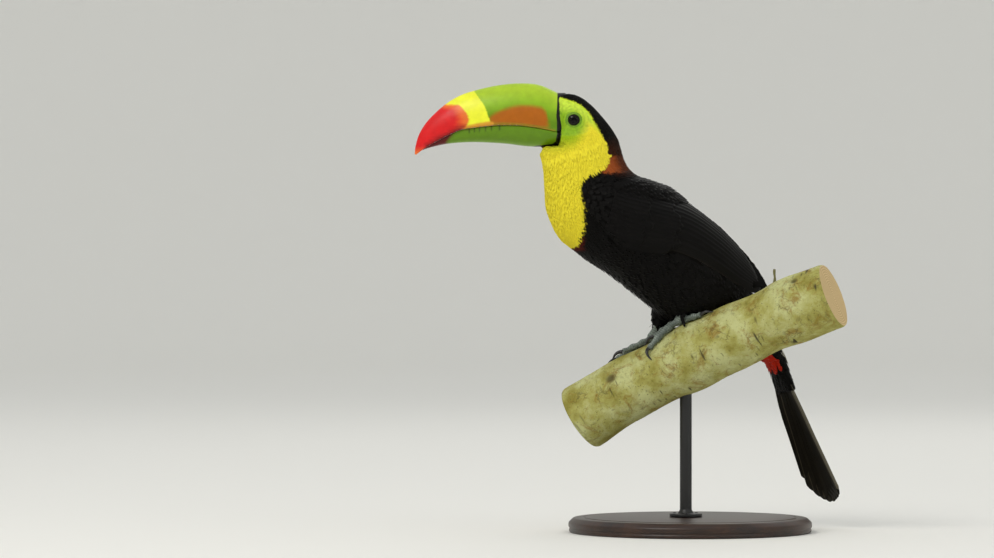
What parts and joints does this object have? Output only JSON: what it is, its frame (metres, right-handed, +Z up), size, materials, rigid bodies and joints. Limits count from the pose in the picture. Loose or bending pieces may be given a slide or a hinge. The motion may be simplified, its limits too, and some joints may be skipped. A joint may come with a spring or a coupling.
{
  "type": "keel-billed toucan model",
  "caption": "Life-size still model of a keel-billed toucan gripping a short cut branch that a plain round display stand holds.",
  "frame": {"origin": "centre of the underside of the stand's round base", "axes": "+Z up; the bill points along -X and the bird's left side faces -Y"},
  "size_m": [0.3953, 0.224, 0.4114],
  "materials": {
    "black_plumage": "matt black feathers with a faint sheen",
    "yellow_plumage": "matt lemon yellow feathers",
    "tail_plumage": "matt black feathers with a faint sheen",
    "green_bill_horn": "satin green horn with an orange panel, a yellow band and a red tip",
    "dark_eye": "clear gloss over a dark green-brown iris",
    "blue_grey_scutes": "satin blue-grey scaly skin",
    "grey_claw_horn": "dark satin horn",
    "pale_bark": "rough pale grey-cream bark with ochre patches",
    "dark_stained_wood": "satin dark stain",
    "black_painted_steel": "satin black paint"
  },
  "bodies": {
    "root": {"head": "yellow_plumage", "neck": "yellow_plumage", "trunk": "black_plumage", "tail": "tail_plumage", "wing_left": "black_plumage", "wing_right": "black_plumage", "bill_upper": "green_bill_horn", "bill_lower": "green_bill_horn", "eye_left": "dark_eye", "eye_right": "dark_eye", "thigh_left": "black_plumage", "thigh_right": "black_plumage", "foot_left": "blue_grey_scutes", "foot_right": "blue_grey_scutes", "perch": "pale_bark", "stand_base": "dark_stained_wood", "stand_rod": "black_painted_steel", "claw_left_inner_back": "grey_claw_horn", "claw_left_inner_front": "grey_claw_horn", "claw_left_outer_back": "grey_claw_horn", "claw_left_outer_front": "grey_claw_horn", "claw_right_inner_back": "grey_claw_horn", "claw_right_inner_front": "grey_claw_horn", "claw_right_outer_back": "grey_claw_horn", "claw_right_outer_front": "grey_claw_horn"}
  },
  "joints": []
}
